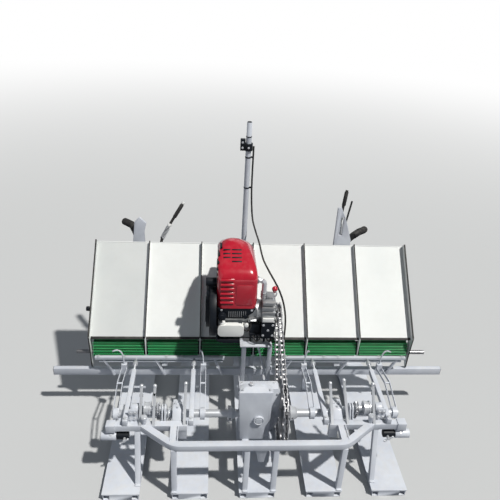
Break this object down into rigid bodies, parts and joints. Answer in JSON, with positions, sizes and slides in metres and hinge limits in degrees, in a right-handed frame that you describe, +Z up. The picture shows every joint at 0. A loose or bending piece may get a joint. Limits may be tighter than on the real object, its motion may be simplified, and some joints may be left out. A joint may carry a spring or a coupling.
{
  "type": "rice transplanter",
  "caption": "Walking rice transplanter: engine and chain drive over sled floats, sliding seedling tray, swinging planting arms.",
  "frame": {"origin": "on the ground under the middle of the machine's bounding box", "axes": "+X to the machine's side along the beam, +Y towards the handles, +Z up"},
  "size_m": [1.34, 0.7309, 0.952],
  "materials": {
    "grey_paint": "satin",
    "tray_paint": "satin",
    "zinc": "satin",
    "steel": "satin",
    "red_plastic": "gloss",
    "black_plastic": "matte",
    "green_plastic": "satin",
    "tank_plastic": "satin",
    "rubber": "matte",
    "cast_engine": "satin"
  },
  "bodies": {
    "frame": {"float_1": "grey_paint", "float_2": "grey_paint", "float_3": "grey_paint", "float_4": "grey_paint", "float_5": "grey_paint", "front_legs": "grey_paint", "rear_struts": "grey_paint", "main_frame": "grey_paint", "socket_plugs": "black_plastic", "spine": "grey_paint", "beam": "grey_paint", "gate_left": "grey_paint", "gate_right": "grey_paint", "support_arms": "grey_paint", "height_screws": "zinc", "bearing_boxes": "grey_paint", "unit_plates": "grey_paint", "unit_levers": "zinc", "unit_chains": "steel", "gearbox_case": "grey_paint", "bearing_cap": "grey_paint", "engine_stand": "grey_paint", "engine_mount": "black_plastic", "engine_block": "cast_engine", "crankcase_cover": "black_plastic", "engine_cover": "red_plastic", "recoil_housing": "black_plastic", "fuel_tank": "tank_plastic", "tank_guard": "black_plastic", "muffler": "black_plastic", "clutch_housing": "zinc", "reduction_box": "zinc", "clutch_lever": "zinc", "drive_chain": "steel", "rear_frame": "grey_paint", "tray_rail": "grey_paint", "handle_brackets": "grey_paint", "grips": "rubber", "hand_levers": "rubber", "centre_pole": "grey_paint", "throttle_lever": "black_plastic", "throttle_cable": "rubber", "arm_pins": "zinc"},
    "tray": {"tray_sheet": "tray_paint", "tray_sides": "tray_paint", "feed_belts": "green_plastic", "feed_shaft": "steel"},
    "main_shaft": {"main_shaft": "zinc", "big_sprocket": "steel"},
    "engine_sprocket": {"small_sprocket": "steel"},
    "counter_left": {"counter_left": "zinc"},
    "counter_right": {"counter_right": "zinc"},
    "arm_1": {"arm_1": "grey_paint"},
    "arm_2": {"arm_2": "grey_paint"},
    "arm_3": {"arm_3": "grey_paint"},
    "arm_4": {"arm_4": "grey_paint"}
  },
  "joints": [
    {"name": "tray_slide", "type": "slide", "parent": "frame", "child": "tray", "axis": [1, 0, 0], "range_m": [-0.09, 0.09]},
    {"name": "main_shaft_turn", "type": "hinge", "parent": "frame", "child": "main_shaft", "pos_m": [0, -0.223, 0.203], "axis": [1, 0, 0], "continuous": true},
    {"name": "engine_sprocket_turn", "type": "hinge", "parent": "frame", "child": "engine_sprocket", "pos_m": [0, 0.02353, 0.39561], "axis": [1, 0, 0], "continuous": true},
    {"name": "counter_left_turn", "type": "hinge", "parent": "frame", "child": "counter_left", "pos_m": [0, -0.239, 0.23966], "axis": [1, 0, 0], "continuous": true},
    {"name": "counter_right_turn", "type": "hinge", "parent": "frame", "child": "counter_right", "pos_m": [0, -0.239, 0.23966], "axis": [1, 0, 0], "continuous": true},
    {"name": "arm_1_swing", "type": "hinge", "parent": "frame", "child": "arm_1", "pos_m": [-0.424, -0.223, 0.203], "axis": [1, 0, 0], "range_deg": [-42, 4]},
    {"name": "arm_2_swing", "type": "hinge", "parent": "frame", "child": "arm_2", "pos_m": [-0.167, -0.223, 0.203], "axis": [1, 0, 0], "range_deg": [-42, 4]},
    {"name": "arm_3_swing", "type": "hinge", "parent": "frame", "child": "arm_3", "pos_m": [0.167, -0.223, 0.203], "axis": [1, 0, 0], "range_deg": [-42, 4]},
    {"name": "arm_4_swing", "type": "hinge", "parent": "frame", "child": "arm_4", "pos_m": [0.424, -0.223, 0.203], "axis": [1, 0, 0], "range_deg": [-42, 4]}
  ],
  "couplings": [
    {"joint": "engine_sprocket_turn", "follows": "main_shaft_turn", "ratio": 3.2308},
    {"joint": "counter_left_turn", "follows": "main_shaft_turn", "ratio": 1},
    {"joint": "counter_right_turn", "follows": "main_shaft_turn", "ratio": 1},
    {"joint": "arm_2_swing", "follows": "arm_1_swing", "ratio": 1},
    {"joint": "arm_3_swing", "follows": "arm_1_swing", "ratio": 1},
    {"joint": "arm_4_swing", "follows": "arm_1_swing", "ratio": 1}
  ]
}
